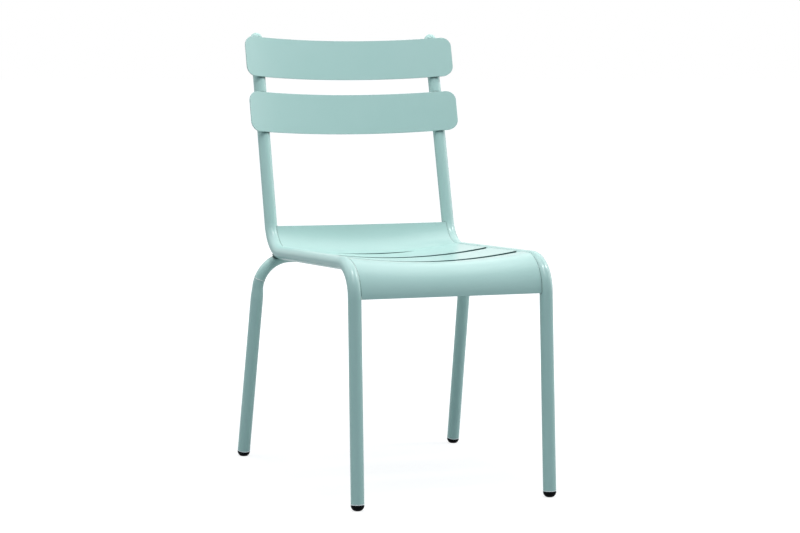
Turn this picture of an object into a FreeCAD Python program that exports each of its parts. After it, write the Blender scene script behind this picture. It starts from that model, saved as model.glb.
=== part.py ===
import FreeCAD, Part
import math
import os

# Stacking side chair of aluminium tube and sheet, welded, for outdoor use.
# Millimetres. +Z up, the sitter looks along -Y, left and right are the picture's: -X is left.
# Each side frame is one tube bent twice: front leg, seat rail, back upright.
# The rear legs are joined by a bent cross tube that passes under both rails.

# Tubes
tube_diameter = 25.0
tube_wall = 2.0
cross_diameter = 22.0
cross_wall = 1.8

# Side frame, seen from the side. y is measured back from the front foot.
front_corner_y = 38.0        # where the lines of leg and rail meet
front_corner_z = 448.0
rear_corner_y = 494.0        # where the lines of rail and upright meet
rear_corner_z = 423.0
back_top_y = 619.0           # tip of the upright, dome included
back_top_z = 856.0
front_bend_radius = 61.0
rear_bend_radius = 69.0
foot_spread_x = 194.0        # tube centre from the middle of the chair, at the floor
top_spread_x = 191.0         # and at the tip of the upright

# Rear legs and cross tube
rear_foot_x = 232.0
rear_foot_y = 554.0
rear_knee_x = 224.0          # where the lines of leg and cross tube meet
rear_knee_ahead = 14.0       # cross tube's centre ahead of the rear corner
saddle_depth = 3.5           # the cross tube is notched this deep for each rail
rear_bend = 63.0
neck_length = 20.0           # taper at the top of the leg, down to the cross tube's size
seam_turn = 16.0             # degrees of the bend that belong to the leg
spigot_length = 50.0
spigot_wall = 1.5

# Seat panels
sheet_thickness = 3.0
seat_rise = 9.8              # top face above the rail's centre line
apron_rise = 5.5             # front face ahead of the leg's centre line, at the lower edge
apron_bottom_z = 384.0
seat_dish = 15.2             # how far the middle lies under the sides
dish_run_in = 28.0           # the dish is full this far behind the front bend
dish_left_at_rear = 0.2      # share of the dish that is left at the rear edge
first_gap = 100.0            # from the front corner, along the rail
gap_pitch = 142.5
gap_width = 24.0
rear_edge_short = 5.5        # the rear edge stops this far short of the end of the bend
drain_length = 170.0         # lens-shaped opening in the rear panel
drain_width = 28.0
section_step = 8.0           # spacing of the points that shape a panel's section

# Back slats
slat_length = 449.0
slat_height = 82.0
slat_bow_radius = 640.0
slat_corner_radius = 20.0
upper_slat_drop = 53.7       # from the tips of the uprights down to the middle of the upper slat
slat_pitch = 114.0

# Fits
seam_gap = 0.3               # between curved faces that are welded
plug_clearance = 0.3         # stems in the tubes

# Feet and tips
glide_height = 11.0
glide_foot_radius = 5.0
glide_rim = 3.0
glide_bulge = 1.5            # how far the taper stands out from a straight cone
washer_thickness = 1.6       # pale washer between glide and tube
stem_length = 20.0
stem_ribs = 3
stem_rib_height = 0.8
cap_stem_length = 15.0

# Welds
weld_gap = 0.1               # between a bead and the faces it lies on
bead_root = 0.5              # thickness of a bead at its root
bead_crown = 0.5             # how far its face bulges
seat_bead_on_tube = 4.0
seat_bead_on_sheet = 4.0
seat_bead_length = 30.0
seat_bead_inset = 6.0        # from the edge of the panel to the end of the bead
slat_bead_on_tube = 6.5
slat_bead_on_sheet = 8.0
slat_bead_length = 56.0
saddle_bead = 4.0            # reach of the bead round a saddle, from both tubes
seam_bead = 0.8              # height of the fine bead round a leg's seam

tube_radius = tube_diameter / 2
bore_radius = tube_radius - tube_wall
cross_radius = cross_diameter / 2
dome_height = tube_radius
tube_lift = glide_height + washer_thickness

X_AXIS = FreeCAD.Vector(1, 0, 0)


def vec(x, y, z):
    return FreeCAD.Vector(x, y, z)


def spread_at(z):
    """Distance of the side tube's centre from the middle of the chair at height z."""
    return foot_spread_x + (top_spread_x - foot_spread_x) * z / back_top_z


def corner_arc(before, corner, after, radius):
    """The arc that rounds a corner: its centre, its first point, its last point."""
    to_before = (before - corner).normalize()
    to_after = (after - corner).normalize()
    half = to_before.getAngle(to_after) / 2
    setback = radius / math.tan(half)
    middle = (to_before + to_after).normalize()
    centre = corner + middle * (radius / math.sin(half))
    return centre, corner + to_before * setback, corner + to_after * setback


def arc_edge(centre, first, last, share_from=0.0, share_to=1.0):
    """Part of the arc from first to last about centre, between two shares of its turn."""
    spoke = first - centre
    axis = spoke.cross(last - centre).normalize()
    turn = math.degrees(spoke.getAngle(last - centre))

    def at(share):
        return centre + FreeCAD.Rotation(axis, turn * share).multVec(spoke)

    middle = (share_from + share_to) / 2
    return Part.Arc(at(share_from), at(middle), at(share_to)).toShape()


def rounded_path(points, radii):
    """A wire of straight runs joined by tangent arcs at the inner points."""
    edges = []
    start = points[0]
    for i, radius in enumerate(radii):
        centre, first, last = corner_arc(points[i], points[i + 1], points[i + 2], radius)
        edges.append(Part.LineSegment(start, first).toShape())
        edges.append(arc_edge(centre, first, last))
        start = last
    edges.append(Part.LineSegment(start, points[-1]).toShape())
    return Part.Wire(edges)


def pipe(path, radius):
    """A round bar along a wire."""
    first = path.OrderedEdges[0]
    circle = Part.Circle(first.valueAt(first.FirstParameter), first.tangentAt(first.FirstParameter), radius)
    return path.makePipeShell([Part.Wire(circle.toShape())], True, False)


def tube(path, radius, wall):
    return pipe(path, radius).cut(pipe(path, radius - wall))


def bow_depth(spread):
    """How far the centre line of a slat's bow lies ahead of the plane of the uprights."""
    reach = slat_bow_radius + seam_gap + tube_radius
    return math.sqrt(reach ** 2 - spread ** 2)


def mirrored(shape):
    return shape.mirror(vec(0, 0, 0), X_AXIS)


def largest(shape):
    """The one solid that counts, where a cut leaves slivers beside it."""
    return max(shape.Solids, key=lambda s: s.Volume)


# The chair's own frame: the floor is Z = 0 and the plan is centred on the origin.
front_foot = vec(foot_spread_x, 0, 0)
front_corner = vec(spread_at(front_corner_z), front_corner_y, front_corner_z)
rear_corner = vec(spread_at(rear_corner_z), rear_corner_y, rear_corner_z)
back_top = vec(top_spread_x, back_top_y, back_top_z)
leg_up = (front_corner - front_foot).normalize()
back_up = (back_top - rear_corner).normalize()

# Up the back in the middle of the chair, and square to it away from the sitter
flat_back_up = vec(0, back_up.y, back_up.z).normalize()
back_away = vec(0, flat_back_up.z, -flat_back_up.y)

# Middles of the slats, measured up the back from the rear corner
upper_slat_at = (back_top - rear_corner).dot(flat_back_up) - upper_slat_drop
lower_slat_at = upper_slat_at - slat_pitch

# In plan the chair reaches from the rims of the front feet to the domes, or to the upper slat's bow.
plan_front = leg_up.y * (glide_height - glide_rim) - tube_radius * leg_up.z
dome_back = (back_top - back_up * dome_height).y + tube_radius
slat_sag = slat_bow_radius - bow_depth(spread_at(rear_corner_z + flat_back_up.z * upper_slat_at))
slat_edge = rear_corner + flat_back_up * (upper_slat_at + slat_height / 2) + back_away * slat_sag
plan_shift = vec(0, -(plan_front + max(dome_back, slat_edge.y)) / 2, 0)
front_foot += plan_shift
front_corner += plan_shift
rear_corner += plan_shift
back_top += plan_shift

tube_bottom = front_foot + leg_up * tube_lift
tube_top = back_top - back_up * dome_height
side_points = [tube_bottom, front_corner, rear_corner, tube_top]
side_radii = [front_bend_radius, rear_bend_radius]
side_path = rounded_path(side_points, side_radii)

# The cross tube lies against the rear bend, as deep as its notch.
rear_bend_centre = corner_arc(front_corner, rear_corner, back_top, rear_bend_radius)[0]
cross_y = rear_corner.y - rear_knee_ahead
cross_reach = rear_bend_radius + tube_radius + cross_radius + seam_gap - saddle_depth
cross_z = rear_bend_centre.z - math.sqrt(cross_reach ** 2 - (cross_y - rear_bend_centre.y) ** 2)
rear_knee = vec(rear_knee_x, cross_y, cross_z)
rear_foot = vec(rear_foot_x, rear_foot_y, 0) + plan_shift
rear_up = (rear_knee - rear_foot).normalize()
other_knee = vec(-rear_knee.x, rear_knee.y, rear_knee.z)
knee_centre, knee_first, knee_last = corner_arc(rear_foot, rear_knee, other_knee, rear_bend)
knee_turn = math.degrees((knee_first - knee_centre).getAngle(knee_last - knee_centre))
seam_share = seam_turn / knee_turn


def side_tube():
    return tube(side_path, tube_radius, tube_wall)


def rear_leg():
    """Straight leg, tapered to the cross tube's size at the top, with the first part of the bend."""
    bottom = rear_foot + rear_up * tube_lift
    shoulder = knee_first - rear_up * neck_length
    straight = (shoulder - bottom).Length
    bend = Part.Wire([arc_edge(knee_centre, knee_first, knee_last, 0, seam_share)])

    def bar(radius, end_radius):
        body = Part.makeCylinder(radius, straight, bottom, rear_up)
        neck = Part.makeCone(radius, end_radius, neck_length, shoulder, rear_up)
        return body.multiFuse([neck, pipe(bend, end_radius)]).removeSplitter()

    return bar(tube_radius, cross_radius).cut(bar(bore_radius, cross_radius - cross_wall))


def cross_path(from_share):
    """The cross tube's centre line, from one seam to the other."""
    knee = arc_edge(knee_centre, knee_first, knee_last, from_share, 1)
    flipped = [vec(-p.x, p.y, p.z) for p in (knee_centre, knee_first, knee_last)]
    other = arc_edge(flipped[0], flipped[2], flipped[1], 0, 1 - from_share)
    level = Part.LineSegment(knee_last, flipped[2]).toShape()
    return Part.Wire([knee, level, other])


def cross_tube():
    """Bent cross tube with a shallow saddle notch for each rail."""
    rail = pipe(side_path, tube_radius + seam_gap)
    return tube(cross_path(seam_share), cross_radius, cross_wall).cut(rail).cut(mirrored(rail))


def leg_spigot():
    """Sleeve inside the seam of leg and cross tube."""
    radius = cross_radius - cross_wall - plug_clearance
    arc_length = rear_bend * math.radians(knee_turn)
    share = (spigot_length / 2) / arc_length
    below = max(0.0, spigot_length / 2 - seam_share * arc_length)
    bend = arc_edge(knee_centre, knee_first, knee_last, max(0.0, seam_share - share), seam_share + share)
    edges = [bend]
    if below > 0:
        edges.insert(0, Part.LineSegment(knee_first - rear_up * below, knee_first).toShape())
    return tube(Part.Wire(edges), radius, spigot_wall)


def seam_weld():
    """Fine bead round the seam of leg and cross tube."""
    seam = arc_edge(knee_centre, knee_first, knee_last, seam_share, 1)
    middle = seam.valueAt(seam.FirstParameter)
    along = seam.tangentAt(seam.FirstParameter)
    ring = Part.makeTorus(cross_radius, seam_bead, middle, along)
    core = Part.makeCylinder(cross_radius + weld_gap, 4 * seam_bead, middle - along * (2 * seam_bead), along)
    return ring.cut(core)


def stem_profile():
    """Outline of a foot's stem, from its shoulder to the axis, with saw-tooth ribs that grip the bore."""
    crest = bore_radius - plug_clearance
    root = crest - stem_rib_height
    pitch = stem_length / (stem_ribs + 1)
    points = [(root, glide_height)]
    for i in range(stem_ribs):
        low = glide_height + pitch * (i + 0.5)
        points += [(root, low), (crest, low), (root, low + pitch / 2)]
    return points + [(root, glide_height + stem_length), (0, glide_height + stem_length)]


def glide(foot, axis):
    """Plastic foot with a bulged taper and a ribbed stem, cut flat where it stands on the floor."""
    sink = glide_foot_radius * math.sin(axis.getAngle(vec(0, 0, 1)))
    toe = vec(glide_foot_radius, 0, -sink)
    rim = vec(tube_radius, 0, glide_height - glide_rim)
    taper = rim - toe
    bulge = vec(taper.z, 0, -taper.x).normalize() * glide_bulge
    stem = [vec(r, 0, h) for r, h in stem_profile()]
    rim_top = vec(tube_radius, 0, glide_height)
    outline = Part.Wire([
        Part.LineSegment(vec(0, 0, -sink), toe).toShape(),
        Part.Arc(toe, (toe + rim) * 0.5 + bulge, rim).toShape(),
        *Part.makePolygon([rim, rim_top] + stem + [vec(0, 0, -sink)]).Edges,
    ])
    solid = Part.Face(outline).revolve(vec(0, 0, 0), vec(0, 0, 1), 360)
    solid.Placement = FreeCAD.Placement(foot, FreeCAD.Rotation(vec(0, 0, 1), axis))
    floor = Part.makeBox(4 * tube_radius, 4 * tube_radius, tube_radius)
    floor.translate(vec(foot.x - 2 * tube_radius, foot.y - 2 * tube_radius, -tube_radius))
    return solid.cut(floor)


def washer(foot, axis):
    """Flat ring between a glide and the end of its tube."""
    start = foot + axis * glide_height
    disc = Part.makeCylinder(tube_radius, washer_thickness, start, axis)
    return disc.cut(Part.makeCylinder(bore_radius, washer_thickness, start, axis))


def tube_cap():
    """Domed plug in the top of the upright."""
    stem_foot = tube_top - back_up * cap_stem_length
    stem = Part.makeCylinder(bore_radius - plug_clearance, cap_stem_length, stem_foot, back_up)
    ball = Part.makeSphere(tube_radius, tube_top)
    keep = Part.makeCylinder(2 * tube_radius, 2 * tube_radius, tube_top, back_up)
    return ball.common(keep).fuse(stem).removeSplitter()


# The seat follows the side tube's centre line, projected on the middle plane.
flat_points = [vec(0, p.y, p.z) for p in [front_foot, front_corner, rear_corner, back_top]]
seat_line = rounded_path(flat_points, side_radii).OrderedEdges
leg_length, front_arc, rail_length, rear_arc = [edge.Length for edge in seat_line[:4]]
rail_start = leg_length + front_arc
bend_end = rail_start + rail_length + rear_arc
corner_setback = (corner_arc(*flat_points[:3], front_bend_radius)[2] - flat_points[1]).Length


def on_seat_line(s):
    """Point and sitter's side normal at a distance along the centre line."""
    for edge in seat_line:
        if s <= edge.Length or edge is seat_line[-1]:
            at = edge.getParameterByLength(s)
            along = edge.tangentAt(at)
            return edge.valueAt(at), vec(0, -along.z, along.y)
        s -= edge.Length


def smooth(t):
    t = min(max(t, 0.0), 1.0)
    return t * t * (3 - 2 * t)


def rise_at(s):
    share = min(max((rail_start - s) / (rail_start - apron_start), 0.0), 1.0)
    return seat_rise + (apron_rise - seat_rise) * share


def dish_at(x, s):
    """Depth of the dish: a parabola across, run in at the front and out at the rear."""
    across = 1 - (x / seat_half_width) ** 2
    run_in = smooth((s - leg_length) / (front_arc + dish_run_in))
    run_out = 1 - (1 - dish_left_at_rear) * smooth((s - rail_start - rail_length) / rear_arc)
    return seat_dish * across * run_in * run_out


def seat_section(x, start, end, steps):
    """Closed outline of the sheet at one distance from the middle of the chair."""
    top, under = [], []
    for i in range(steps + 1):
        s = start + (end - start) * i / steps
        point, normal = on_seat_line(s)
        height = rise_at(s) - dish_at(x, s)
        top.append(point + normal * height + X_AXIS * x)
        under.append(point + normal * (height - sheet_thickness) + X_AXIS * x)
    edges = []
    for points in (top, under[::-1]):
        curve = Part.BSplineCurve()
        curve.interpolate(points)
        edges.append(curve.toShape())
    rear_end = Part.LineSegment(top[-1], under[-1]).toShape()
    front_end = Part.LineSegment(under[0], top[0]).toShape()
    return Part.Wire([edges[0], rear_end, edges[1], front_end])


apron_start = apron_bottom_z / (flat_points[1] - flat_points[0]).normalize().z
seat_half_width = spread_at(front_corner_z) - math.sqrt(tube_radius ** 2 - seat_rise ** 2)
gap_centres = [rail_start - corner_setback + first_gap + gap_pitch * i for i in range(3)]


def seat_panel(start, end):
    """Dished sheet between the rails, its ends coped to the round of both tubes."""
    reach = spread_at(rear_corner_z)
    steps_each_side = 6
    stations = [reach * (i / steps_each_side - 1) for i in range(2 * steps_each_side + 1)]
    steps = max(4, round((end - start) / section_step))
    sheet = Part.makeLoft([seat_section(x, start, end, steps) for x in stations], True, False)
    rail = pipe(side_path, tube_radius + seam_gap)
    return largest(sheet.cut(rail).cut(mirrored(rail)))


def drain_cutter():
    """Upright prism with a lens-shaped outline, over the third gap line."""
    point, normal = on_seat_line(gap_centres[2])
    half = drain_length / 2
    left, right = vec(-half, point.y, 0), vec(half, point.y, 0)
    front = Part.Arc(left, vec(0, point.y - drain_width / 2, 0), right).toShape()
    back = Part.Arc(right, vec(0, point.y + drain_width / 2, 0), left).toShape()
    lens = Part.Face(Part.Wire([front, back]))
    lens.translate(vec(0, 0, point.z - 2 * seat_dish))
    return lens.extrude(vec(0, 0, 4 * seat_dish))


def back_slat(middle_at):
    """Bowed sheet with rounded corners, laid against the front of both uprights."""
    origin = vec(0, rear_corner.y, rear_corner.z) + flat_back_up * middle_at
    axis_foot = vec(0, -bow_depth(spread_at(origin.z)), -slat_height / 2)
    bar = Part.makeCylinder(slat_bow_radius, slat_height, axis_foot)
    hollow = Part.makeCylinder(slat_bow_radius - sheet_thickness, slat_height, axis_foot)
    outline = Part.makeBox(slat_length, slat_bow_radius, slat_height, axis_foot - X_AXIS * (slat_length / 2))
    corners = [e for e in outline.Edges if abs(e.tangentAt(e.FirstParameter).y) > 0.9]
    slat = largest(bar.cut(hollow).common(outline.makeFillet(slat_corner_radius, corners)))
    slat.Placement = FreeCAD.Placement(origin, FreeCAD.Rotation(X_AXIS, back_away, flat_back_up))
    return slat


def bead_section(centre, aside, up, sheet_at, on_tube, on_sheet):
    """Outline of a fillet weld beside a tube: an arc on the tube, a bulged face, a line on the sheet.

    sheet_at gives the sheet's height over the tube's centre for a distance aside.
    """
    radius = tube_radius + weld_gap

    def point(across, height):
        return centre + aside * across + up * height

    def on_round(angle):
        return point(radius * math.cos(angle), radius * math.sin(angle))

    root = math.asin((sheet_at(tube_radius) - bead_root) / radius)
    toe = root - on_tube / radius
    inner = radius * math.cos(root)
    sheet_root = point(inner, sheet_at(inner) - weld_gap)
    sheet_toe = point(inner + on_sheet, sheet_at(inner + on_sheet) - weld_gap)
    face_middle = (on_round(toe) + sheet_toe) * 0.5
    outward = (face_middle - sheet_root).normalize()
    return Part.Wire([
        Part.Arc(on_round(root), on_round((root + toe) / 2), on_round(toe)).toShape(),
        Part.Arc(on_round(toe), face_middle + outward * bead_crown, sheet_toe).toShape(),
        Part.LineSegment(sheet_toe, sheet_root).toShape(),
        Part.LineSegment(sheet_root, on_round(root)).toShape(),
    ])


def slat_beads(middle_at):
    """Weld beads in the two grooves between a slat's back and the right upright."""
    upright = rear_corner + back_up * middle_at
    outward = (X_AXIS * upright.x + back_away * bow_depth(upright.x)).normalize()
    sideways = outward.cross(back_up).normalize()
    ends = [upright - back_up * (slat_bead_length / 2), upright + back_up * (slat_bead_length / 2)]
    sizes = (lambda across: tube_radius + seam_gap, slat_bead_on_tube, slat_bead_on_sheet)
    return [
        Part.makeLoft([bead_section(end, sideways * side, outward * -1, *sizes) for end in ends], True, True)
        for side in (-1, 1)
    ]


def seat_bead(middle):
    """One stitch of weld under a panel's end, on the inner side of the right tube."""
    sections = []
    for share in (-0.5, -0.25, 0, 0.25, 0.5):
        s = middle + seat_bead_length * share
        point, normal = on_seat_line(s)
        spread = spread_at(point.z)

        def underside(across):
            return rise_at(s) - dish_at(spread - across, s) - sheet_thickness

        centre = point + X_AXIS * spread
        sizes = (underside, seat_bead_on_tube, seat_bead_on_sheet)
        sections.append(bead_section(centre, X_AXIS * -1, normal, *sizes))
    return Part.makeLoft(sections, True, False)


def saddle_weld(cross):
    """Bead round the saddle where the right rail lies in the cross tube."""
    rail_zone = pipe(side_path, tube_radius + saddle_bead)
    cross_zone = pipe(cross_path(seam_share), cross_radius + saddle_bead)
    core = pipe(cross_path(seam_share), cross_radius - cross_wall)
    ring = rail_zone.common(cross_zone).cut(pipe(side_path, tube_radius))
    return largest(ring.cut(cross).cut(core))


def main():
    os.makedirs("parts", exist_ok=True)
    nodes = {}

    right_tube = side_tube()
    nodes["side_tube_right"] = right_tube
    nodes["side_tube_left"] = mirrored(right_tube)
    nodes["cross_tube"] = cross_tube()
    leg = rear_leg()
    nodes["rear_leg_right"] = leg
    nodes["rear_leg_left"] = mirrored(leg)
    spigot = leg_spigot()
    nodes["leg_spigot_right"] = spigot
    nodes["leg_spigot_left"] = mirrored(spigot)

    half_gap = gap_width / 2
    nodes["seat_front_panel"] = seat_panel(apron_start, gap_centres[0] - half_gap)
    nodes["seat_middle_slat"] = seat_panel(gap_centres[0] + half_gap, gap_centres[1] - half_gap)
    rear_panel = seat_panel(gap_centres[1] + half_gap, bend_end - rear_edge_short)
    nodes["seat_rear_panel"] = largest(rear_panel.cut(drain_cutter()))

    nodes["back_slat_upper"] = back_slat(upper_slat_at)
    nodes["back_slat_lower"] = back_slat(lower_slat_at)

    cap = tube_cap()
    nodes["tube_cap_right"] = cap
    nodes["tube_cap_left"] = mirrored(cap)
    for name, foot, axis in (("front", front_foot, leg_up), ("rear", rear_foot, rear_up)):
        foot_piece = glide(foot, axis)
        nodes[name + "_glide_right"] = foot_piece
        nodes[name + "_glide_left"] = mirrored(foot_piece)
        ring = washer(foot, axis)
        nodes[name + "_washer_right"] = ring
        nodes[name + "_washer_left"] = mirrored(ring)

    for name, at in (("upper", upper_slat_at), ("lower", lower_slat_at)):
        beads = slat_beads(at)
        nodes["welds_" + name + "_slat"] = Part.makeCompound(beads + [mirrored(b) for b in beads])

    inset = half_gap + seat_bead_inset + seat_bead_length / 2
    stitches = [
        apron_start + inset - half_gap,
        gap_centres[0] - inset,
        gap_centres[0] + inset,
        gap_centres[1] - inset,
        gap_centres[1] + inset,
        gap_centres[2],
    ]
    beads = [seat_bead(middle) for middle in stitches]
    nodes["seat_welds_right"] = Part.makeCompound(beads)
    nodes["seat_welds_left"] = mirrored(nodes["seat_welds_right"])

    saddle = saddle_weld(nodes["cross_tube"])
    nodes["saddle_weld_right"] = saddle
    nodes["saddle_weld_left"] = mirrored(saddle)
    seam = seam_weld()
    nodes["seam_weld_right"] = seam
    nodes["seam_weld_left"] = mirrored(seam)

    for name, shape in nodes.items():
        if not shape.isValid():
            print("not valid:", name)
        shape.exportStep("parts/" + name + ".step")
        box = shape.BoundBox
        size = "x".join("%.1f" % v for v in (box.XLength, box.YLength, box.ZLength))
        print("%-20s %2d solid  %10.0f mm3  %s" % (name, len(shape.Solids), shape.Volume, size))


main()
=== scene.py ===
import math
import bpy
from mathutils import Matrix, Vector

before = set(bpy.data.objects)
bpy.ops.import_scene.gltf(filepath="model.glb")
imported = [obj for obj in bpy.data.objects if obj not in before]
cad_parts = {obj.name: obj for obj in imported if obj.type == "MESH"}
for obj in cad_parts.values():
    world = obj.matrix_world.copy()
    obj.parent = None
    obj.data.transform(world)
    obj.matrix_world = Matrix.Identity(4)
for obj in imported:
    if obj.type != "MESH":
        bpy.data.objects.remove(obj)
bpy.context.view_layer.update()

# A stacking chair of bent tube and sheet, powder coated in mint, on black plastic feet.
# The part stands as the CAD gives it: metres, floor at z = 0, the sitter looks along -y.

scene = bpy.context.scene


def report(stage):
    print("stage:", stage)


# Shared helpers

def hexColour(code):
    # an sRGB hex colour as the linear numbers that a shader takes
    parts = [int(code[i:i + 2], 16) / 255 for i in (1, 3, 5)]
    linear = [c / 12.92 if c <= 0.04045 else ((c + 0.055) / 1.055) ** 2.4 for c in parts]
    return (*linear, 1.0)


def addNode(tree, kind, settings=None, inputs=None):
    # a node with its settings; an input is a value or another node's output, and goes by its
    # name or its number (a Mix node has its colours at inputs 6 and 7 and at output 2)
    node = tree.nodes.new(kind)
    for name, value in (settings or {}).items():
        setattr(node, name, value)
    for name, value in (inputs or {}).items():
        if isinstance(value, bpy.types.NodeSocket):
            tree.links.new(value, node.inputs[name])
        else:
            node.inputs[name].default_value = value
    return node


def emptyMaterial(name):
    material = bpy.data.materials.new(name)
    material.use_nodes = True
    material.node_tree.nodes.clear()
    return material, material.node_tree


def giveMaterial(piece, material):
    piece.data.materials.clear()
    piece.data.materials.append(material)


# Powder coat: polyester powder sprayed dry and melted in an oven. It gives an even satin
# film that rounds cut edges, with a faint orange peel and no grain or brush marks. Narrow
# joints and the cut edges in the seat's slots get painted shadow: their colour is darkened.

powderCoat = {
    "mint": "#B0D0CA",
    "mintShade": "#AACDC6",      # where the film is a touch thicker
    "blotchMm": 90,              # spacing of the slow change in colour
    "paintedJointShadow": "#2F4643",     # painted shadow where two pieces meet
    "jointShadowMm": 6,                # how far the painted shadow where pieces meet reaches
    "jointShadowOpen": 0.9,            # the share of open space at which the painted shadow begins
    "jointShadowShut": 0.5,            # and at which it is full
    "jointShadowSamples": 8,
    "paintedSlotShadow": "#3E5F5C",      # painted shadow on the cut edges in the seat's slots, nearly dark green
    "slotFrom": -0.21,           # the slots lie between these two y, in metres
    "slotTo": 0.16,
    "slotFacing": 0.8,           # a cut edge faces forward or back at least this squarely
    "roughness": 0.235,          # with its swing it stays under 0.27, where patches begin
    "roughnessSwing": 0.03,
    "peelMm": 3.2,               # orange peel, coarser than the real 1 to 2 mm so that it shows
    "peelDepthMm": 0.012,
    "edgeMm": 0.8,               # how far the film rounds a cut edge
    "edgeSamples": 6,
    "ior": 1.5,
}

# The fine bead round a leg's seam stands proud; its coat is painted near white along its whole
# length, a painted highlight for the light it catches.

seamHighlightCoat = {**powderCoat, "mint": "#F2FBF9", "mintShade": "#E6F3F0"}

# Weld beads under the coat: laid by hand in short pushes, which leave ripples across the bead.

weldRipples = {
    "slat": {"along": "Z", "pitchMm": 2.6, "depthMm": 0.35, "waver": 1.2},
    "seat": {"along": "Y", "pitchMm": 2.6, "depthMm": 0.35, "waver": 1.2},
    "saddle": {"along": "X", "pitchMm": 2.6, "depthMm": 0.35, "waver": 1.2},
    "seam": {"along": "X", "pitchMm": 2.2, "depthMm": 0.15, "waver": 1.2},
}
waveRepeat = math.tau / 20       # length of one wave of the Wave texture at scale 1


def slotShadowMask(tree, place, look):
    # where shadow is painted: 1 on the cut edges in the slots, which face forward or back, and
    # 0 elsewhere
    facing = addNode(tree, "ShaderNodeSeparateXYZ", None,
                     {"Vector": addNode(tree, "ShaderNodeNewGeometry").outputs["True Normal"]})
    steep = addNode(tree, "ShaderNodeMath", {"operation": "ABSOLUTE"}, {0: facing.outputs["Y"]})
    cut = addNode(tree, "ShaderNodeMath", {"operation": "GREATER_THAN"},
                  {0: steep.outputs["Value"], 1: look["slotFacing"]})
    along = addNode(tree, "ShaderNodeSeparateXYZ", None, {"Vector": place})
    behind = addNode(tree, "ShaderNodeMath", {"operation": "GREATER_THAN"},
                     {0: along.outputs["Y"], 1: look["slotFrom"]})
    ahead = addNode(tree, "ShaderNodeMath", {"operation": "LESS_THAN"},
                    {0: along.outputs["Y"], 1: look["slotTo"]})
    inside = addNode(tree, "ShaderNodeMath", {"operation": "MULTIPLY"},
                     {0: behind.outputs["Value"], 1: ahead.outputs["Value"]})
    return addNode(tree, "ShaderNodeMath", {"operation": "MULTIPLY"},
                   {0: cut.outputs["Value"], 1: inside.outputs["Value"]}).outputs["Value"]


def makePowderCoat(name, look, slots=False, ripple=None):
    material, tree = emptyMaterial(name)
    place = addNode(tree, "ShaderNodeTexCoord").outputs["Object"]
    blotch = addNode(tree, "ShaderNodeTexNoise", None,
                     {"Vector": place, "Scale": 1000 / look["blotchMm"], "Detail": 2.0})
    film = addNode(tree, "ShaderNodeMix", {"data_type": "RGBA"}, {
        "Factor": blotch.outputs["Fac"],
        6: hexColour(look["mint"]),
        7: hexColour(look["mintShade"])})
    # painted shadow on the cut edges in the seat's slots
    if slots:
        film = addNode(tree, "ShaderNodeMix", {"data_type": "RGBA"}, {
            "Factor": slotShadowMask(tree, place, look),
            6: film.outputs[2],
            7: hexColour(look["paintedSlotShadow"])})
    # painted shadow: where an occlusion test finds little open space, the colour is darkened
    free = addNode(tree, "ShaderNodeAmbientOcclusion", {"samples": look["jointShadowSamples"]},
                   {"Distance": look["jointShadowMm"] / 1000})
    jointShadowMask = addNode(tree, "ShaderNodeMapRange", None, {
        "Value": free.outputs["AO"],
        "From Min": look["jointShadowOpen"],
        "From Max": look["jointShadowShut"],
        "To Min": 0.0,
        "To Max": 1.0})
    film = addNode(tree, "ShaderNodeMix", {"data_type": "RGBA"}, {
        "Factor": jointShadowMask.outputs["Result"],
        6: film.outputs[2],
        7: hexColour(look["paintedJointShadow"])})
    gloss = addNode(tree, "ShaderNodeMapRange", None, {
        "Value": blotch.outputs["Fac"],
        "To Min": look["roughness"] - look["roughnessSwing"],
        "To Max": look["roughness"] + look["roughnessSwing"]})
    edge = addNode(tree, "ShaderNodeBevel", {"samples": look["edgeSamples"]},
                   {"Radius": look["edgeMm"] / 1000})
    peel = addNode(tree, "ShaderNodeTexNoise", None, {
        "Vector": place, "Scale": 1000 / look["peelMm"], "Detail": 1.0, "Roughness": 0.4})
    bump = addNode(tree, "ShaderNodeBump", None, {
        "Height": peel.outputs["Fac"],
        "Distance": look["peelDepthMm"] / 1000,
        "Normal": edge.outputs["Normal"]})
    if ripple:
        wave = addNode(tree, "ShaderNodeTexWave", {"bands_direction": ripple["along"]}, {
            "Vector": place,
            "Scale": 1000 / ripple["pitchMm"] * waveRepeat,
            "Distortion": ripple["waver"],
            "Detail": 1.0,
            "Detail Scale": 0.3})
        bump = addNode(tree, "ShaderNodeBump", None, {
            "Height": wave.outputs["Fac"],
            "Distance": ripple["depthMm"] / 1000,
            "Normal": bump.outputs["Normal"]})
    coat = addNode(tree, "ShaderNodeBsdfPrincipled", None, {
        "Base Color": film.outputs[2],
        "Roughness": gloss.outputs["Result"],
        "IOR": look["ior"],
        "Normal": bump.outputs["Normal"]})
    addNode(tree, "ShaderNodeOutputMaterial", None, {"Surface": coat.outputs["BSDF"]})
    return material


# Moulded polypropylene of the feet: dyed right through, near black, with the dull skin of a
# spark-eroded mould and the faint grey clouds that the dye leaves.

footPlastic = {
    "colour": "#050608",
    "cloud": "#0D0E11",
    "cloudMm": 9,
    "roughness": 0.5,
    "roughnessSwing": 0.08,
    "shine": 0.05,               # the skin throws back hardly any of the light
    "grainMm": 1.2,              # drawn coarser than the real 0.1 mm
    "grainDepthMm": 0.02,
    "ior": 1.49,
}

# Moulded polyethylene of the washers: pale, a little waxy, with no gloss.

washerPlastic = {
    "colour": "#F6FAF8",
    "cloud": "#EEF4F1",
    "cloudMm": 6,
    "roughness": 0.5,
    "roughnessSwing": 0.08,
    "shine": 0.5,
    "grainMm": 1.5,              # drawn coarser than the real 0.1 mm
    "grainDepthMm": 0.02,
    "ior": 1.51,
}


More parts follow.
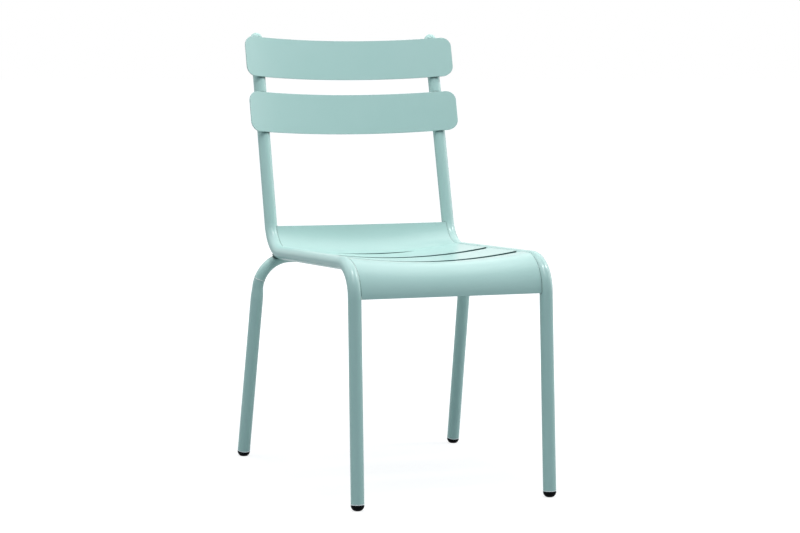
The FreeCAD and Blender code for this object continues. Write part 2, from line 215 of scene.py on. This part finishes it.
def makeMouldedPlastic(name, look):
    material, tree = emptyMaterial(name)
    place = addNode(tree, "ShaderNodeTexCoord").outputs["Object"]
    grain = addNode(tree, "ShaderNodeTexNoise", None,
                    {"Vector": place, "Scale": 1000 / look["grainMm"], "Detail": 2.0})
    bump = addNode(tree, "ShaderNodeBump", None,
                   {"Height": grain.outputs["Fac"], "Distance": look["grainDepthMm"] / 1000})
    clouds = addNode(tree, "ShaderNodeTexNoise", None,
                     {"Vector": place, "Scale": 1000 / look["cloudMm"], "Detail": 2.0})
    dye = addNode(tree, "ShaderNodeMix", {"data_type": "RGBA"}, {
        "Factor": clouds.outputs["Fac"],
        6: hexColour(look["colour"]),
        7: hexColour(look["cloud"])})
    gloss = addNode(tree, "ShaderNodeMapRange", None, {
        "Value": grain.outputs["Fac"],
        "To Min": look["roughness"] - look["roughnessSwing"],
        "To Max": look["roughness"] + look["roughnessSwing"]})
    plastic = addNode(tree, "ShaderNodeBsdfPrincipled", None, {
        "Base Color": dye.outputs[2],
        "Roughness": gloss.outputs["Result"],
        "IOR": look["ior"],
        "Specular IOR Level": look["shine"],
        "Normal": bump.outputs["Normal"]})
    addNode(tree, "ShaderNodeOutputMaterial", None, {"Surface": plastic.outputs["BSDF"]})
    return material


# Drawn aluminium of the sleeves inside the leg seams, as it leaves the die, with fine lines
# along it.

drawnAluminium = {
    "grey": "#DADBDC",
    "lineGrey": "#C9CBCD",
    "roughness": 0.35,
    "roughnessSwing": 0.06,
    "lineMm": 0.8,
    "lineStretch": 30,           # how much longer a line is than wide
}


def makeDrawnAluminium(name, look):
    material, tree = emptyMaterial(name)
    place = addNode(tree, "ShaderNodeTexCoord").outputs["Object"]
    drawn = addNode(tree, "ShaderNodeMapping", None,
                    {"Vector": place, "Scale": (1.0, 1.0, 1 / look["lineStretch"])})
    lines = addNode(tree, "ShaderNodeTexNoise", None, {
        "Vector": drawn.outputs["Vector"], "Scale": 1000 / look["lineMm"], "Detail": 1.0})
    tone = addNode(tree, "ShaderNodeMix", {"data_type": "RGBA"}, {
        "Factor": lines.outputs["Fac"],
        6: hexColour(look["grey"]),
        7: hexColour(look["lineGrey"])})
    gloss = addNode(tree, "ShaderNodeMapRange", None, {
        "Value": lines.outputs["Fac"],
        "To Min": look["roughness"] - look["roughnessSwing"],
        "To Max": look["roughness"] + look["roughnessSwing"]})
    metal = addNode(tree, "ShaderNodeBsdfPrincipled", None, {
        "Base Color": tone.outputs[2],
        "Metallic": 1.0,
        "Roughness": gloss.outputs["Result"]})
    addNode(tree, "ShaderNodeOutputMaterial", None, {"Surface": metal.outputs["BSDF"]})
    return material


report("materials")
finishes = {
    "glide": makeMouldedPlastic("moulded polypropylene, black", footPlastic),
    "washer": makeMouldedPlastic("moulded polyethylene, pale", washerPlastic),
    "spigot": makeDrawnAluminium("drawn aluminium", drawnAluminium),
    "welds_upper_slat": makePowderCoat(
        "satin powder coat on slat beads", powderCoat, ripple=weldRipples["slat"]),
    "seat_welds": makePowderCoat(
        "satin powder coat on seat beads", powderCoat, ripple=weldRipples["seat"]),
    "saddle_weld": makePowderCoat(
        "satin powder coat on saddle beads", powderCoat, ripple=weldRipples["saddle"]),
    "seam_weld": makePowderCoat(
        "satin powder coat on seam beads, painted highlight", seamHighlightCoat, ripple=weldRipples["seam"]),
    "seat_": makePowderCoat("satin powder coat on the seat, painted slot shadow", powderCoat, slots=True),
    "": makePowderCoat("satin powder coat, mint", powderCoat),
}
finishes["welds_lower_slat"] = finishes["welds_upper_slat"]

# A piece takes the finish that stands under the longest part of its name.
for name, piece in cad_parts.items():
    longestFit = max((part for part in finishes if part in name), key=len)
    giveMaterial(piece, finishes[longestFit])


# Floor and surroundings

studio = {
    "floorSize": 40.0,
    "floorSeen": "#8C8C8C",           # what the camera and a reflection see of the floor
    "floorGlow": 0.8,                 # and the white that is added to it near the chair
    "fadeFrom": 0.7,                  # metres from the middle, where it starts to turn
    "fadeTo": 1.6,                    # to plain white
    "floorMirrored": 0.5,             # how much of that floor shows in the coat
    "floorLight": "#B2B9B9",          # the floor as it throws light back on the chair
    "ambient": "#A8D2EE",
    "ambientStrength": 0.24,
}


def seenRays(tree, mirrored=1.0):
    # 1 for what the camera sees, straight or through glass, and a share of it for a reflection
    rays = addNode(tree, "ShaderNodeLightPath")
    inCoat = addNode(tree, "ShaderNodeMath", {"operation": "MULTIPLY"},
                     {0: rays.outputs["Is Glossy Ray"], 1: mirrored})
    seen = addNode(tree, "ShaderNodeMath", {"operation": "MAXIMUM"},
                   {0: rays.outputs["Is Camera Ray"], 1: inCoat.outputs["Value"]})
    through = addNode(tree, "ShaderNodeMath", {"operation": "MAXIMUM"},
                      {0: seen.outputs["Value"], 1: rays.outputs["Is Transmission Ray"]})
    return through.outputs["Value"]


def makeFloor(look):
    # one wide face; the camera sees it near white, and it keeps the shadow
    half = look["floorSize"] / 2
    corners = [(-half, -half, 0), (half, -half, 0), (half, half, 0), (-half, half, 0)]
    mesh = bpy.data.meshes.new("floor")
    mesh.from_pydata(corners, [], [(0, 1, 2, 3)])
    floor = bpy.data.objects.new("floor", mesh)
    scene.collection.objects.link(floor)
    material, tree = emptyMaterial("matt studio floor")
    seen = seenRays(tree, look["floorMirrored"])
    place = addNode(tree, "ShaderNodeTexCoord").outputs["Object"]
    away = addNode(tree, "ShaderNodeVectorMath", {"operation": "LENGTH"}, {0: place})
    white = addNode(tree, "ShaderNodeMapRange", {"interpolation_type": "SMOOTHSTEP"}, {
        "Value": away.outputs["Value"],
        "From Min": look["fadeFrom"],
        "From Max": look["fadeTo"],
        "To Min": look["floorGlow"],
        "To Max": 1.0})
    glow = addNode(tree, "ShaderNodeMath", {"operation": "MULTIPLY"},
                   {0: seen, 1: white.outputs["Result"]})
    light = addNode(tree, "ShaderNodeEmission", None, {"Strength": glow.outputs["Value"]})
    tone = addNode(tree, "ShaderNodeMix", {"data_type": "RGBA"}, {
        "Factor": seen,
        6: hexColour(look["floorLight"]),
        7: hexColour(look["floorSeen"])})
    matt = addNode(tree, "ShaderNodeBsdfDiffuse", None, {"Color": tone.outputs[2]})
    both = addNode(tree, "ShaderNodeAddShader", None,
                   {0: light.outputs["Emission"], 1: matt.outputs["BSDF"]})
    addNode(tree, "ShaderNodeOutputMaterial", None, {"Surface": both.outputs["Shader"]})
    giveMaterial(floor, material)


def makeWorld(look):
    # white where the camera or a reflection sees it, dimmer and cool as light
    world = bpy.data.worlds.new("studio")
    scene.world = world
    world.use_nodes = True
    tree = world.node_tree
    tree.nodes.clear()
    ambient = addNode(tree, "ShaderNodeBackground", None, {
        "Color": hexColour(look["ambient"]), "Strength": look["ambientStrength"]})
    white = addNode(tree, "ShaderNodeBackground", None,
                    {"Color": hexColour("#FFFFFF"), "Strength": 1.0})
    choice = addNode(tree, "ShaderNodeMixShader", None, {
        0: seenRays(tree), 1: ambient.outputs["Background"], 2: white.outputs["Background"]})
    addNode(tree, "ShaderNodeOutputWorld", None, {"Surface": choice.outputs["Shader"]})


# Lamps: round, azimuth and elevation as seen from the chair, diameter in metres. The two small
# ones give the bright streaks on the bends and the edged shadows of the slats.

lamps = {
    "leftBehind": {"azimuth": -120, "elevation": 50, "size": 3.8, "watts": 48},
    "right": {"azimuth": 90, "elevation": 25, "size": 3.2, "watts": 33},
    "front": {"azimuth": -20, "elevation": 55, "size": 1.6, "watts": 18},
    "overhead": {"azimuth": 0, "elevation": 90, "size": 3.2, "watts": 35},
    "overheadFront": {"azimuth": 0, "elevation": 72, "size": 0.45, "watts": 25},
    "rightAbove": {"azimuth": 80, "elevation": 45, "size": 0.4, "watts": 18},
    "rightBehind": {"azimuth": 135, "elevation": 48, "size": 2.6, "watts": 14},
}
lampDistance = 3.2               # metres from the point that the camera looks at


def direction(azimuth, elevation):
    # azimuth 0 is in front of the chair and 90 on its right in the picture
    a, e = math.radians(azimuth), math.radians(elevation)
    return Vector((math.sin(a) * math.cos(e), -math.cos(a) * math.cos(e), math.sin(e)))


def makeLamp(name, look, aim):
    data = bpy.data.lights.new(name, "AREA")
    data.shape = "DISK"
    data.size = look["size"]
    data.energy = look["watts"]
    lamp = bpy.data.objects.new(name, data)
    scene.collection.objects.link(lamp)
    back = direction(look["azimuth"], look["elevation"])
    lamp.location = aim + back * lampDistance
    lamp.rotation_euler = back.to_track_quat("Z", "Y").to_euler()


# Camera: found from the edges of the chair in the photograph

photoCamera = {
    "azimuth": -21.997,
    "elevation": 6.616,
    "rollDegrees": 0.854,
    "distance": 4.5427,
    "lensMm": 105.11,
    "sensorMm": 36.0,
    "aim": (-0.0059, -0.0325, 0.4122),
    "nearest": 0.1,              # it sees nothing nearer or further, in metres
    "furthest": 100.0,
}


def makeCamera(look):
    data = bpy.data.cameras.new("camera")
    data.lens = look["lensMm"]
    data.sensor_width = look["sensorMm"]
    data.clip_start = look["nearest"]
    data.clip_end = look["furthest"]
    camera = bpy.data.objects.new("camera", data)
    scene.collection.objects.link(camera)
    back = direction(look["azimuth"], look["elevation"])
    right = Vector((0, 0, 1)).cross(back).normalized()
    up = back.cross(right)
    roll = math.radians(look["rollDegrees"])
    rolledRight = right * math.cos(roll) + up * math.sin(roll)
    rolledUp = up * math.cos(roll) - right * math.sin(roll)
    turn = Matrix((rolledRight, rolledUp, back)).transposed()
    place = Vector(look["aim"]) + back * look["distance"]
    camera.matrix_world = Matrix.Translation(place) @ turn.to_4x4()
    scene.camera = camera


report("studio")
makeFloor(studio)
makeWorld(studio)
for name, look in lamps.items():
    makeLamp(name, look, Vector(photoCamera["aim"]))
makeCamera(photoCamera)
scene.view_settings.view_transform = "Standard"

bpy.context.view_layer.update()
report("done")
